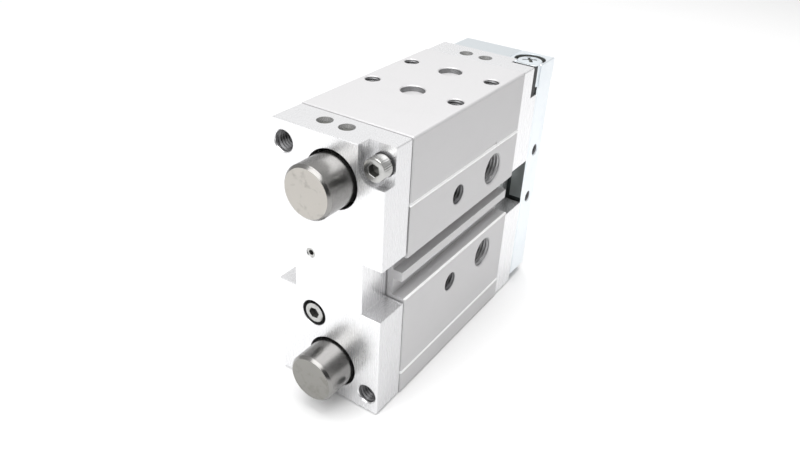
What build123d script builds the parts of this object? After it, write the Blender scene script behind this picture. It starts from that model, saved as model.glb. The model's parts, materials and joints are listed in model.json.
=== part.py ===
"""Guided pneumatic cylinder: a through-rod twin-guide unit with one end plate.

Millimetres. +X is to the right of the front face, +Y runs from the front cap
to the end plate, +Z is up. The origin is the centre of the four tapped holes
in the underside of the body. The unit is drawn retracted: the end plate is
next to the rear cap and both guide rods stand out of the front cap. Screws,
rods and the plate are placed from the caps' edges, so they follow the caps.
"""
import os

from build123d import *

# Caps, which the body and the end plate follow
cap_w = 47.6
cap_h = 112.0
cap_t = 15.0
cap_edge = 0.6
notch_depth = 8.2
notch_h = 21.8
notch_round = 0.6

# Body extrusion, which stands proud of the caps all round
body_proud = 0.4
body_len = 82.5
body_corner = 1.2
body_end_edge = 0.4

# Side grooves: two sensor slots with a rib between them, on each side
slot_h = 7.3
slot_depth = 5.8
rib_h = 4.0
rib_recess = 1.8

# Scribed V lines along both sides, measured up and down from mid height
line_up = 30.9
line_down = 45.4
line_depth = 0.6
line_half_w = 0.55
mark_len = 9.7
mark_from_port = 4.3
mark_h = 1.2
mark_depth = 0.35

# Gaskets
gasket_t = 0.5
gasket_inset = 0.7

# Guide rods and their bearings
rod_d = 20.0
rod_from_end = 16.0
rod_x = 2.0
rod_out = 13.0
rod_end_edge = 1.0
rod_clear = 1.1
web_clear = 0.4
bush_wall = 2.0
front_bush_len = 22.0
rear_bush_len = 28.0
wiper_wall = 2.3
wiper_t = 5.0
spigot_d = 14.0
spigot_len = 2.0

# Piston side
stroke = 50.0
bore_d = 25.0
piston_rod_d = 12.0
stud_d = 8.0
piston_rod_spigot_d = 9.0
bumper_t = 3.0
end_gap = 0.5
front_bumper_d = 18.0
rear_bumper_od = 21.0
nut_af = 13.0
nut_t = 5.0
nut_recess_d = 16.4
nut_recess_t = 7.0
stud_past_nut = 1.0
rod_bush_wall = 2.0
rod_bush_len = 8.0
rod_seal_wall = 4.0
rod_seal_t = 5.0
groove_depth = 2.5
magnet_t = 4.0
seal_t = 3.5
wear_t = 5.0
piston_land = 3.0

# End plate, stop block and bumper
plate_t = 14.0
plate_gap = 0.5
plate_past_side = 0.2
plate_left_in = 3.8
plate_top_in = 0.5
plate_bottom_in = 3.5
plate_edge = 0.6
block_w = 15.6
block_h = 9.5
block_round = 3.0
block_edge = 0.3
nose_w = 10.0
stop_gap = 0.3
stop_bumper_t = 2.7
bumper_play = 0.4
peg_d = 5.0
peg_len = 5.0
recess_d = 13.6
recess_depth = 4.0
recess_x = 7.4
recess_from_nose = 7.9

# Fits
run_gap = 0.03
seal_gap = 0.05
seat_gap = 0.02
screw_gap = 0.25
piston_gap = 0.15

# Screws: nominal, head diameter, head height, hexagon across flats
m4 = 4.0
m4_hex = 2.0
set_screw_len = 6.0
set_screw_sunk = 0.3
m5 = 5.0
m5_head_d = 8.5
m5_head_h = 5.0
m5_hex = 4.0
washer_od = 8.8
washer_t = 1.0
front_screw_len = 24.0
rear_screw_len = 16.0
m6 = 6.0
m6_head_d = 10.0
m6_head_h = 6.0
m6_hex = 5.0
m6_screw_len = 20.0
m8 = 8.0
m8_head_d = 13.0
m8_head_h = 8.0
m8_hex = 6.0
m8_screw_len = 22.0
head_play = 1.0
head_sunk = 0.5
pan_head_d = 10.0
pan_head_h = 3.8
pan_screw_len = 16.0
thread_runout = 2.0
rear_runout = 1.0
screw_mouth = 0.4

# Screw shapes, as shares of the head's diameter or height, or of the shank's diameter
head_edge = 0.06
screw_tip = 0.12
socket_depth = 0.5
pan_shoulder = 0.45
pan_dome = 0.75
cross_reach = 0.56
cross_wide = 0.14
cross_deep = 0.55
cross_point = (0.12, 0.36)

# Screw places in the caps: in from the cap's corner, or X and up from its centre
corner_screw_in = (4.5, 7.2)
corner_thread_in = (5.0, 8.1)
inner_screw = (-6.8, -20.4)
set_screw_at = (-7.7, 6.8)
counterbore_d = 12.6
pocket_slack = 0.1
rear_head_bore_d = 9.4

# Mounting holes
pattern_from_front = 65.0
top_row_pitch = 27.5
under_row_pitch = 40.0
hole_from_side = 5.5
body_thread_depth = 9.5
body_mouth = 0.35
locating_d = 9.6
locating_depth = 3.0
right_hole_from_front = 50.0
left_hole_from_front = 65.0
port_from_front = 78.0
side_row = 20.5
side_thread_depth = 12.0
port_d = 13.16
port_depth = 11.5
port_mouth = 0.5
gallery_d = 4.0
gallery_x = 7.0
gallery_from_end = 4.0
cross_hole_d = 3.0
inlet_d = 5.0
cap_hole_d = 6.0
cap_hole_depth = 4.0
cap_hole_from_face = 8.6
cap_hole_x = (-7.5, 1.9)
plate_thread_x = 30.0
plate_thread_z = 48.0
plate_side_pitch = 24.4
plate_side_depth = 10.0

# Places along Y, from the front cap to the end plate
front_y = -pattern_from_front
cap_back_y = front_y + cap_t
body_y0 = cap_back_y + gasket_t
body_y1 = body_y0 + body_len
rear_cap_y0 = body_y1 + gasket_t
rear_cap_y1 = rear_cap_y0 + cap_t
plate_y0 = rear_cap_y1 + plate_gap
plate_y1 = plate_y0 + plate_t
counterbore_depth = m5_head_h + washer_t
pocket_y = rear_cap_y1 - counterbore_depth
nose_y = pocket_y + stop_bumper_t + stop_gap

# Places across
body_w = cap_w + 2 * body_proud
body_h = cap_h + 2 * body_proud
mid_z = body_h / 2
cap_top = mid_z + cap_h / 2
upper_z = cap_top - rod_from_end
lower_z = mid_z - cap_h / 2 + rod_from_end
corner_screw = (cap_w / 2 - corner_screw_in[0], cap_h / 2 - corner_screw_in[1])
corner_thread = (cap_w / 2 - corner_thread_in[0], cap_h / 2 - corner_thread_in[1])
hole_x = body_w / 2 - hole_from_side
slot_z = rib_h / 2 + slot_h / 2
plate_left = plate_left_in - cap_w / 2
plate_right = cap_w / 2 + plate_past_side
plate_top = cap_top - plate_top_in
plate_bottom = mid_z - cap_h / 2 + plate_bottom_in
plate_w = plate_right - plate_left
plate_h = plate_top - plate_bottom
plate_x = (plate_left + plate_right) / 2
plate_z = (plate_bottom + plate_top) / 2
block_x0 = plate_right - block_w
block_z0 = plate_top - block_h
right_hole_y = front_y + right_hole_from_front
left_hole_y = front_y + left_hole_from_front
port_y = front_y + port_from_front

# Bores and rings around the rods
front_bore_d = rod_d + 2 * rod_clear
web_bore_d = rod_d + 2 * web_clear
bush_od = rod_d + 2 * bush_wall
wiper_od = rod_d + 2 * wiper_wall
rod_bush_od = piston_rod_d + 2 * rod_bush_wall
rod_seal_od = piston_rod_d + 2 * rod_seal_wall

# Piston, worked out from the chamber between the caps
chamber_len = rear_cap_y0 - cap_back_y
piston_len = chamber_len - stroke - 2 * (bumper_t + end_gap)
piston_y0 = cap_back_y + bumper_t + end_gap
piston_y1 = piston_y0 + piston_len

# Guide bearings: the front bush starts where a fully drawn-in rod still covers it
front_bush_y0 = front_y - rod_out + stroke + 3 * rod_end_edge
front_bush_y1 = front_bush_y0 + front_bush_len
rear_bush_y0 = body_y1 - rear_bush_len

# Turning a piece that is drawn along +Z so that +Z points out of a face
out_top = Rot(0, 0, 0)
out_bottom = Rot(180, 0, 0)
out_right = Rot(0, 90, 0)
out_left = Rot(0, -90, 0)
out_front = Rot(90, 0, 0)
out_rear = Rot(-90, 0, 0)
beyond = 1.0
drill_slope = 0.58


def prism(sketch, y0, y1):
    """A sketch drawn in X and Z, extruded from y0 to y1."""
    return Pos(0, y1, 0) * extrude(Plane.XZ * sketch, y1 - y0)


def shaft(d, y0, y1, x=0, z=0):
    """A plain round bar along Y."""
    return Pos(x, (y0 + y1) / 2, z) * Rot(90, 0, 0) * Cylinder(d / 2, y1 - y0)


def ring(od, inner, y0, y1, x=0, z=0):
    """A plain ring along Y."""
    return shaft(od, y0, y1, x, z) - shaft(inner, y0 - beyond, y1 + beyond, x, z)


def hole(d, depth, mouth=0.0, tip=True):
    """A drilled hole along -Z with its mouth at z = 0."""
    r = d / 2
    end = depth + (drill_slope * r if tip else 0)
    rim = [(r + mouth, 0), (r, -mouth)] if mouth else []
    outline = Polyline((0, beyond), (r + mouth, beyond), *rim, (r, -depth), (0, -end), close=True)
    return revolve(Plane.XZ * make_face(outline), Axis.Z)


def hexagon(af, depth):
    """A hexagonal prism that ends at z = 0 and reaches down by its depth."""
    return Pos(0, 0, -depth) * extrude(RegularPolygon(af / 2, 6, major_radius=False), depth)


def cap_screw(d, length, head_d, head_h, af):
    """A socket head cap screw along Z, with the underside of its head at z = 0."""
    edge = head_edge * head_d
    tip = screw_tip * d
    outline = Polyline(
        (0, head_h), (head_d / 2 - edge, head_h), (head_d / 2, head_h - edge), (head_d / 2, 0),
        (d / 2, 0), (d / 2, tip - length), (d / 2 - tip, -length), (0, -length), close=True,
    )
    blank = revolve(Plane.XZ * make_face(outline), Axis.Z)
    return blank - Pos(0, 0, head_h) * hexagon(af, socket_depth * head_h)


def pan_screw(d, length, head_d, head_h):
    """A cross-recessed pan head screw along Z, with the underside of its head at z = 0."""
    shoulder = pan_shoulder * head_h
    dome = RadiusArc((head_d / 2, shoulder), (0, head_h), -pan_dome * head_d)
    outline = Wire([
        Line((0, head_h), (0, -length)), Line((0, -length), (d / 2, -length)),
        Line((d / 2, -length), (d / 2, 0)), Line((d / 2, 0), (head_d / 2, 0)),
        Line((head_d / 2, 0), (head_d / 2, shoulder)), dome,
    ])
    blank = revolve(Plane.XZ * make_face(outline), Axis.Z)
    reach = cross_reach * head_d
    wide = cross_wide * head_d
    deep = cross_deep * head_h
    wings = Box(reach, wide, 2 * deep) + Box(wide, reach, 2 * deep)
    point = Cone(cross_point[0] * head_d, cross_point[1] * head_d, 2 * deep)
    return blank - Pos(0, 0, head_h) * (wings & point)


def in_cap(place, side=1):
    """A place given from the cap's centre, as X and Z of the part."""
    return side * place[0], mid_z + side * place[1]


def body_section():
    """The extrusion's outline with its sensor slots, ribs and scribed lines."""
    section = Rectangle(body_w, body_h)
    section = fillet(section.vertices(), body_corner)
    slot_mid_x = body_w / 2 - slot_depth / 2 + beyond / 2
    slot_w = slot_depth + beyond
    rib_x = body_w / 2 - rib_recess / 2 + beyond / 2
    for side in (-1, 1):
        for up in (-1, 1):
            section -= Pos(side * slot_mid_x, up * slot_z) * Rectangle(slot_w, slot_h)
        section -= Pos(side * rib_x, 0) * Rectangle(rib_recess + beyond, rib_h + beyond)
        edge = side * body_w / 2
        for at in (line_up, -line_down):
            section -= make_face(Polyline(
                (edge, at - line_half_w), (edge - side * line_depth, at), (edge, at + line_half_w),
                (edge + side * beyond, at), close=True,
            ))
    return Pos(0, mid_z) * section


def make_body():
    """The grey extrusion with its bores, threads, ports and air galleries."""
    body = prism(body_section(), body_y0, body_y1)
    for face_y, pick in ((body_y0, 0), (body_y1, -1)):
        rim = body.faces().sort_by(Axis.Y)[pick].outer_wire().edges()
        body = chamfer(rim.filter_by(Axis.Z).group_by(SortBy.LENGTH)[-1], body_end_edge)
        rim = body.faces().sort_by(Axis.Y)[pick].outer_wire().edges()
        body = chamfer(rim.filter_by(Axis.X).group_by(SortBy.LENGTH)[-1], body_end_edge)
    for z in (upper_z, lower_z):
        body -= shaft(front_bore_d, body_y0 - beyond, front_bush_y0 + beyond, rod_x, z)
        body -= shaft(bush_od, front_bush_y0, body_y1 + beyond, rod_x, z)
    body -= shaft(bore_d, body_y0 - beyond, body_y1 + beyond, 0, mid_z)

    thread = hole(m6, body_thread_depth, body_mouth)
    seat = hole(locating_d, locating_depth, body_mouth, tip=False)
    for face_z, turn, pitch in ((body_h, out_top, top_row_pitch), (0, out_bottom, under_row_pitch)):
        for y in (-pitch / 2, pitch / 2):
            for x in (-hole_x, hole_x):
                body -= Pos(x, y, face_z) * turn * thread
            body -= Pos(0, y, face_z) * turn * seat

    side_thread = hole(m8, side_thread_depth, body_mouth)
    port = hole(port_d, port_depth, port_mouth, tip=False)
    edge = body_w / 2
    for up in (-1, 1):
        z = mid_z + up * side_row
        body -= Pos(edge, right_hole_y, z) * out_right * side_thread
        body -= Pos(-edge, left_hole_y, z) * out_left * side_thread
        body -= Pos(edge, port_y, z) * out_right * port
        body -= air_gallery(up)

    body -= screw_threads()
    body -= position_mark()
    return body


def air_gallery(up):
    """The drilled way from a port to one end of the chamber: the upper port feeds the front."""
    z = mid_z + up * side_row
    end_y = body_y0 - beyond if up > 0 else body_y1 + beyond
    inlet_len = body_w / 2 - port_depth - gallery_x + inlet_d / 2 + beyond
    inlet_x = body_w / 2 - port_depth + beyond - inlet_len / 2
    inlet = Pos(inlet_x, port_y, z) * Rot(0, 90, 0) * Cylinder(inlet_d / 2, inlet_len)
    start_y = port_y - up * beyond
    along = shaft(gallery_d, min(start_y, end_y), max(start_y, end_y), gallery_x, z)
    drop_y = (body_y0 if up > 0 else body_y1) + up * gallery_from_end
    drop_h = side_row - bore_d / 4
    drop = Pos(gallery_x, drop_y, z - up * drop_h / 2) * Cylinder(cross_hole_d / 2, drop_h)
    return inlet + along + drop


def screw_threads():
    """Tapped holes in both ends of the body for the cap screws."""
    depth = front_screw_len - (cap_t - counterbore_depth) - washer_t - gasket_t + thread_runout
    front = hole(m5 + 2 * seat_gap, depth)
    cut = [Pos(x, body_y0, z) * out_front * front for x, z in front_screw_places()]
    rear_depth = rear_screw_len - (cap_t - m5_head_h - head_sunk) - gasket_t + rear_runout
    rear = hole(m5 + 2 * seat_gap, rear_depth)
    cut += [Pos(x, body_y1, z) * out_rear * rear for x, z in rear_screw_places()]
    return Compound(cut)


def position_mark():
    """A shallow milled mark above the upper scribed line, beside the port."""
    at = Pos(body_w / 2, port_y - mark_from_port, mid_z + line_up + mark_h)
    return at * Box(2 * mark_depth, mark_len, mark_h)


def front_screw_places():
    """The two screws that hold the front cap: one in the corner pocket, one inboard."""
    return [in_cap(corner_screw), in_cap(inner_screw)]


def rear_screw_places():
    """The three screws that hold the rear cap."""
    left_x, left_z = -corner_thread[0], mid_z + corner_thread[1]
    right_x, right_z = corner_thread[0], mid_z - corner_thread[1]
    return [(left_x, left_z), (right_x, right_z), in_cap(inner_screw)]


def cap_blank(y0, y1):
    """A cap plate with its two side notches."""
    section = Rectangle(cap_w, cap_h)
    for side in (-1, 1):
        notch_x = side * (cap_w / 2 - notch_depth / 2 + beyond / 2)
        section -= Pos(notch_x, 0) * Rectangle(notch_depth + beyond, notch_h)
    corners = [v for v in section.vertices() if abs(v.Y) > cap_h / 4]
    section = fillet(corners, cap_edge)
    low = [v for v in section.vertices() if abs(v.Y) < cap_h / 4]
    notch_corners = [v for v in low if abs(v.X) < cap_w / 2 - notch_depth / 2]
    section = fillet(notch_corners, notch_round)
    return prism(Pos(0, mid_z) * section, y0, y1)


def corner_pocket(y0, y1, reach, play=0.0):
    """The open corner pocket: a screw counterbore run out to the top and to the right side."""
    x, z = in_cap(corner_screw)
    r = counterbore_d / 2 - play
    right = cap_w / 2 + reach
    top = cap_top + reach
    section = Pos((x - r + right) / 2, (z - r + top) / 2) * Rectangle(right - x + r, top - z + r)
    inner_corner = section.vertices().sort_by(lambda v: v.X + v.Y)[0]
    return prism(fillet(inner_corner, r - pocket_slack), y0, y1)


def top_holes(face_y, inward):
    """The two plain holes in the top edge of a cap."""
    blind = hole(cap_hole_d, cap_hole_depth, tip=False)
    y = face_y + inward * cap_hole_from_face
    return Compound([Pos(x, y, cap_top) * blind for x in cap_hole_x])


def make_front_cap():
    """The front cap: rod clearance holes, corner pocket, counterbore and two tapped corners."""
    cap = cap_blank(front_y, cap_back_y)
    rim = cap.faces().sort_by(Axis.Y)[0].outer_wire().edges()
    cap = chamfer(rim, cap_edge / 2)
    for z in (upper_z, lower_z):
        cap -= shaft(front_bore_d, front_y - beyond, cap_back_y + beyond, rod_x, z)
    seat_y = front_y + counterbore_depth
    cap -= corner_pocket(front_y - beyond, seat_y, beyond)
    x, z = in_cap(inner_screw)
    cap -= shaft(counterbore_d, front_y - beyond, seat_y, x, z)
    for x, z in front_screw_places():
        cap -= shaft(m5 + 2 * screw_gap, seat_y - beyond, cap_back_y + beyond, x, z)
    for side in (-1, 1):
        x, z = -side * corner_thread[0], mid_z + side * corner_thread[1]
        cap -= Pos(x, front_y, z) * out_front * hole(m8, cap_t + beyond, screw_mouth, tip=False)
    x, z = in_cap(set_screw_at)
    depth = set_screw_len + set_screw_sunk
    cap -= Pos(x, front_y, z) * out_front * hole(m4 + 2 * seat_gap, depth)
    cap -= top_holes(front_y, 1)
    return cap


def make_rear_cap():
    """The rear cap: bearing webs, wiper and seal seats, screw counterbores and the stop pocket."""
    cap = cap_blank(rear_cap_y0, rear_cap_y1)
    rim = cap.faces().sort_by(Axis.Y)[-1].outer_wire().edges()
    cap = chamfer(rim, cap_edge / 2)
    for z in (upper_z, lower_z):
        cap -= shaft(web_bore_d, rear_cap_y0 - beyond, rear_cap_y1 + beyond, rod_x, z)
        cap -= shaft(wiper_od, rear_cap_y1 - wiper_t, rear_cap_y1 + beyond, rod_x, z)
    cap -= shaft(piston_rod_d + 2 * screw_gap, rear_cap_y0 - beyond, rear_cap_y1 + beyond, 0, mid_z)
    cap -= shaft(rod_bush_od, rear_cap_y0 - beyond, rear_cap_y0 + rod_bush_len, 0, mid_z)
    cap -= shaft(rod_seal_od, rear_cap_y1 - rod_seal_t, rear_cap_y1 + beyond, 0, mid_z)
    head_y = rear_cap_y1 - m5_head_h - head_sunk
    for x, z in rear_screw_places():
        cap -= shaft(m5 + 2 * screw_gap, rear_cap_y0 - beyond, rear_cap_y1, x, z)
        cap -= shaft(rear_head_bore_d, head_y, rear_cap_y1 + beyond, x, z)
    cap -= corner_pocket(pocket_y, rear_cap_y1 + beyond, beyond)
    x, z = in_cap(corner_screw)
    cap -= shaft(peg_d, pocket_y - peg_len, pocket_y + beyond, x, z)
    cap -= top_holes(rear_cap_y1, -1)
    return cap


def make_gasket(y0, screw_places, rod_hole_d):
    """A thin sheet seal between the body and a cap, set in from the cap's outline."""
    y1 = y0 + gasket_t
    section = Rectangle(cap_w - 2 * gasket_inset, cap_h - 2 * gasket_inset)
    for side in (-1, 1):
        edge = cap_w / 2 - notch_depth - gasket_inset
        section -= Pos(side * (edge + cap_w / 2), 0) * Rectangle(cap_w, notch_h + 2 * gasket_inset)
    sheet = prism(Pos(0, mid_z) * section, y0, y1)
    for z in (upper_z, lower_z):
        sheet -= shaft(rod_hole_d, y0 - beyond, y1 + beyond, rod_x, z)
    sheet -= shaft(bore_d, y0 - beyond, y1 + beyond, 0, mid_z)
    for x, z in screw_places:
        sheet -= shaft(m5 + 2 * screw_gap, y0 - beyond, y1 + beyond, x, z)
    return sheet


def make_guide_rod(z):
    """A ground guide rod with a chamfered free end, a spigot and a tapped end."""
    rod = shaft(rod_d, front_y - rod_out, plate_y0, rod_x, z)
    rod = chamfer(rod.faces().sort_by(Axis.Y)[0].edges(), rod_end_edge)
    rod += shaft(spigot_d, plate_y0, plate_y0 + spigot_len, rod_x, z)
    screw_y = plate_y1 - m8_head_h - head_sunk
    depth = m8_screw_len - (screw_y - plate_y0 - spigot_len) + thread_runout
    thread = hole(m8 + 2 * seat_gap, depth)
    return rod - Pos(rod_x, plate_y0 + spigot_len, z) * out_rear * thread


def make_piston():
    """The piston with three ring grooves and a recess for its nut."""
    r = bore_d / 2 - piston_gap
    piston = shaft(2 * r, piston_y0, piston_y1, 0, mid_z)
    piston -= shaft(stud_d + 2 * seat_gap, piston_y0 - beyond, piston_y1 + beyond, 0, mid_z)
    piston -= shaft(nut_recess_d, piston_y0 - beyond, piston_y0 + nut_recess_t, 0, mid_z)
    for y0, thick in ring_grooves():
        piston -= ring(bore_d + beyond, 2 * (r - groove_depth), y0, y0 + thick, 0, mid_z)
    return piston


def ring_grooves():
    """Start and width of the seal, magnet and wear ring grooves."""
    seal_y = piston_y1 - piston_land - seal_t
    magnet_y = seal_y - piston_land - magnet_t
    wear_y = magnet_y - piston_land - wear_t
    return [(seal_y, seal_t), (magnet_y, magnet_t), (wear_y, wear_t)]


def piston_ring(which, outer_gap):
    """One ring in its groove."""
    y0, thick = ring_grooves()[which]
    inner = bore_d - 2 * (piston_gap + groove_depth) + 2 * seat_gap
    return ring(bore_d - 2 * outer_gap, inner, y0 + seat_gap, y0 + thick - seat_gap, 0, mid_z)


def make_piston_rod():
    """The piston rod: stud through the piston, ground shaft, spigot and tapped end."""
    rod = shaft(piston_rod_d, piston_y1, plate_y0, 0, mid_z)
    nut_y0 = piston_y0 + nut_recess_t - nut_t
    rod += shaft(stud_d, nut_y0 - stud_past_nut, piston_y1, 0, mid_z)
    rod += shaft(piston_rod_spigot_d, plate_y0, plate_y0 + spigot_len, 0, mid_z)
    screw_y = plate_y1 - m6_head_h - head_sunk
    depth = m6_screw_len - (screw_y - plate_y0 - spigot_len) + thread_runout
    thread = hole(m6 + 2 * seat_gap, depth)
    return rod - Pos(0, plate_y0 + spigot_len, mid_z) * out_rear * thread


def make_piston_nut():
    """The hexagon nut in the piston's front recess."""
    top_y = piston_y0 + nut_recess_t
    nut = Pos(0, top_y, mid_z) * out_rear * hexagon(nut_af, nut_t)
    return nut - shaft(stud_d + 2 * seat_gap, top_y - 2 * nut_t, top_y + beyond, 0, mid_z)


def make_end_plate():
    """The end plate: rod seats, screw counterbores, load threads and the step for the stop block."""
    mid_y = (plate_y0 + plate_y1) / 2
    plate = Pos(plate_x, mid_y, plate_z) * Box(plate_w, plate_t, plate_h)
    plate = chamfer(plate.edges(), plate_edge)
    for z in (upper_z, lower_z):
        plate -= shaft(spigot_d + 2 * seat_gap, plate_y0 - beyond, plate_y0 + spigot_len, rod_x, z)
        plate -= shaft(m8 + 2 * screw_gap, plate_y0, plate_y1, rod_x, z)
        head_y = plate_y1 - m8_head_h - head_sunk
        plate -= shaft(m8_head_d + head_play, head_y, plate_y1 + beyond, rod_x, z)
    plate -= shaft(piston_rod_spigot_d + 2 * seat_gap, plate_y0 - beyond, plate_y0 + spigot_len, 0, mid_z)
    plate -= shaft(m6 + 2 * screw_gap, plate_y0, plate_y1, 0, mid_z)
    head_y = plate_y1 - m6_head_h - head_sunk
    plate -= shaft(m6_head_d + head_play, head_y, plate_y1 + beyond, 0, mid_z)
    for side_x in (-1, 1):
        for side_z in (-1, 1):
            x = plate_x + side_x * plate_thread_x / 2
            z = plate_z + side_z * plate_thread_z / 2
            plate -= Pos(x, plate_y1, z) * out_rear * hole(m8, plate_t + beyond, screw_mouth, tip=False)
    for side_z in (-1, 1):
        z = plate_z + side_z * plate_side_pitch / 2
        plate -= Pos(plate_right, mid_y, z) * out_right * hole(m5, plate_side_depth, screw_mouth)
    step_x = (block_x0 + plate_right + beyond) / 2
    step_z = (block_z0 + plate_top + beyond) / 2
    step = Box(plate_right + beyond - block_x0, plate_t + 2 * beyond, plate_top + beyond - block_z0)
    plate -= Pos(step_x, mid_y, step_z) * step
    depth = pan_screw_len - (block_h - recess_depth) + thread_runout
    plate -= Pos(*block_screw_place(), block_z0) * hole(m5 + 2 * seat_gap, depth)
    return plate


def block_screw_place():
    """X and Y of the screw that holds the stop block."""
    return plate_right - recess_x, nose_y + recess_from_nose


def make_stop_block():
    """The hardened block on the end plate's corner, whose nose enters the rear cap's pocket."""
    top = block_z0 + block_h
    main = Rectangle(block_w, plate_t)
    main = Pos(block_x0 + block_w / 2, (plate_y0 + plate_y1) / 2) * main
    nose_len = plate_y0 - nose_y
    nose_right = plate_right - bumper_play
    nose = Pos(nose_right - nose_w / 2, nose_y + (nose_len + block_round) / 2)
    nose *= Rectangle(nose_w, nose_len + block_round)
    front_right = nose.vertices().sort_by(Axis.Y)[:2].sort_by(Axis.X)[-1]
    nose = fillet(front_right, block_round)
    block = extrude(Pos(0, 0, block_z0) * (main + nose), block_h)
    block = chamfer(block.faces().sort_by(Axis.Z)[-1].outer_wire().edges(), block_edge)
    x, y = block_screw_place()
    block -= Pos(x, y, top) * hole(recess_d, recess_depth, tip=False)
    block -= Pos(x, y, (block_z0 + top) / 2) * Cylinder(m5 / 2 + screw_gap, 2 * block_h)
    return block


def make_stop_bumper():
    """The soft pad in the rear cap's pocket, with a peg in the cap."""
    pad = corner_pocket(pocket_y, pocket_y + stop_bumper_t, -bumper_play, bumper_play)
    x, z = in_cap(corner_screw)
    return pad + shaft(peg_d - 2 * seat_gap, pocket_y - peg_len, pocket_y, x, z)


def make_set_screw():
    """The small hexagon socket set screw in the front cap."""
    x, z = in_cap(set_screw_at)
    body = Pos(0, 0, -set_screw_sunk - set_screw_len / 2) * Cylinder(m4 / 2, set_screw_len)
    body -= Pos(0, 0, -set_screw_sunk) * hexagon(m4_hex, set_screw_len / 2)
    return Pos(x, front_y, z) * out_front * body


def make_front_screws():
    """The two cap screws of the front cap."""
    screw = cap_screw(m5, front_screw_len, m5_head_d, m5_head_h, m5_hex)
    seat_y = front_y + m5_head_h
    return Compound([Pos(x, seat_y, z) * out_front * screw for x, z in front_screw_places()])


def make_front_washers():
    """The two washers under the front cap screws."""
    y0 = front_y + m5_head_h
    inner = m5 + screw_gap
    return Compound([ring(washer_od, inner, y0, y0 + washer_t, x, z) for x, z in front_screw_places()])


def make_rear_screws():
    """The three cap screws of the rear cap."""
    screw = cap_screw(m5, rear_screw_len, m5_head_d, m5_head_h, m5_hex)
    seat_y = rear_cap_y1 - m5_head_h - head_sunk
    return Compound([Pos(x, seat_y, z) * out_rear * screw for x, z in rear_screw_places()])


def make_rod_screws():
    """The two screws that hold the guide rods to the end plate."""
    screw = cap_screw(m8, m8_screw_len, m8_head_d, m8_head_h, m8_hex)
    seat_y = plate_y1 - m8_head_h - head_sunk
    return Compound([Pos(rod_x, seat_y, z) * out_rear * screw for z in (upper_z, lower_z)])


def make_piston_rod_screw():
    """The screw that holds the piston rod to the end plate."""
    screw = cap_screw(m6, m6_screw_len, m6_head_d, m6_head_h, m6_hex)
    return Pos(0, plate_y1 - m6_head_h - head_sunk, mid_z) * out_rear * screw


def make_block_screw():
    """The cross-recessed screw that holds the stop block."""
    screw = pan_screw(m5, pan_screw_len, pan_head_d, pan_head_h)
    return Pos(*block_screw_place(), block_z0 + block_h - recess_depth) * screw


def bush(y0, y1, z):
    """A plain guide bush around a rod."""
    return ring(bush_od - 2 * seat_gap, rod_d + 2 * run_gap, y0, y1, rod_x, z)


def wiper(z):
    """The wiper ring at the outer face of the rear cap."""
    y0 = rear_cap_y1 - wiper_t
    return ring(wiper_od - 2 * seat_gap, rod_d + 2 * seal_gap, y0, rear_cap_y1, rod_x, z)


parts = {
    "body": make_body(),
    "front_cap": make_front_cap(),
    "rear_cap": make_rear_cap(),
    "front_gasket": make_gasket(cap_back_y, front_screw_places(), front_bore_d),
    "rear_gasket": make_gasket(body_y1, rear_screw_places(), web_bore_d),
    "front_cap_screws": make_front_screws(),
    "front_cap_washers": make_front_washers(),
    "rear_cap_screws": make_rear_screws(),
    "set_screw": make_set_screw(),
    "front_bumper": shaft(front_bumper_d, cap_back_y, cap_back_y + bumper_t, 0, mid_z),
    "rear_bumper": ring(
        rear_bumper_od, piston_rod_d + 2 * screw_gap, rear_cap_y0 - bumper_t, rear_cap_y0, 0, mid_z
    ),
    "piston_rod_bush": ring(
        rod_bush_od - 2 * seat_gap, piston_rod_d + 2 * run_gap,
        rear_cap_y0, rear_cap_y0 + rod_bush_len, 0, mid_z,
    ),
    "piston_rod_seal": ring(
        rod_seal_od - 2 * seat_gap, piston_rod_d + 2 * seal_gap,
        rear_cap_y1 - rod_seal_t, rear_cap_y1, 0, mid_z,
    ),
    "stop_bumper": make_stop_bumper(),
    "end_plate": make_end_plate(),
    "stop_block": make_stop_block(),
    "stop_block_screw": make_block_screw(),
    "guide_rod_screws": make_rod_screws(),
    "piston_rod_screw": make_piston_rod_screw(),
    "piston": make_piston(),
    "piston_seal": piston_ring(0, seal_gap),
    "piston_magnet": piston_ring(1, piston_gap),
    "piston_wear_ring": piston_ring(2, run_gap),
    "piston_rod": make_piston_rod(),
    "piston_nut": make_piston_nut(),
}
for name, z in (("upper", upper_z), ("lower", lower_z)):
    parts[name + "_guide_rod"] = make_guide_rod(z)
    parts[name + "_front_bush"] = bush(front_bush_y0, front_bush_y1, z)
    parts[name + "_rear_bush"] = bush(rear_bush_y0, body_y1, z)
    parts[name + "_bush_spacer"] = ring(
        bush_od - 2 * seat_gap, web_bore_d, front_bush_y1, rear_bush_y0, rod_x, z
    )
    parts[name + "_wiper"] = wiper(z)

os.makedirs("parts", exist_ok=True)
for name, shape in parts.items():
    export_step(shape, "parts/" + name + ".step")
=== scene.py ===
# %% [markdown]
# # A guided air cylinder
# The real object is a slim aluminium housing with two steel guide rods running through it and a steel plate
# on their far ends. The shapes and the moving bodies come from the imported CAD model. This script gives each
# piece its finish, and adds what a solid model leaves out: threads, knurled screw heads, split washers,
# ground rods.

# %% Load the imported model
import json
import math

import bmesh
import bpy
import numpy as np
from mathutils import Matrix, Vector


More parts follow.
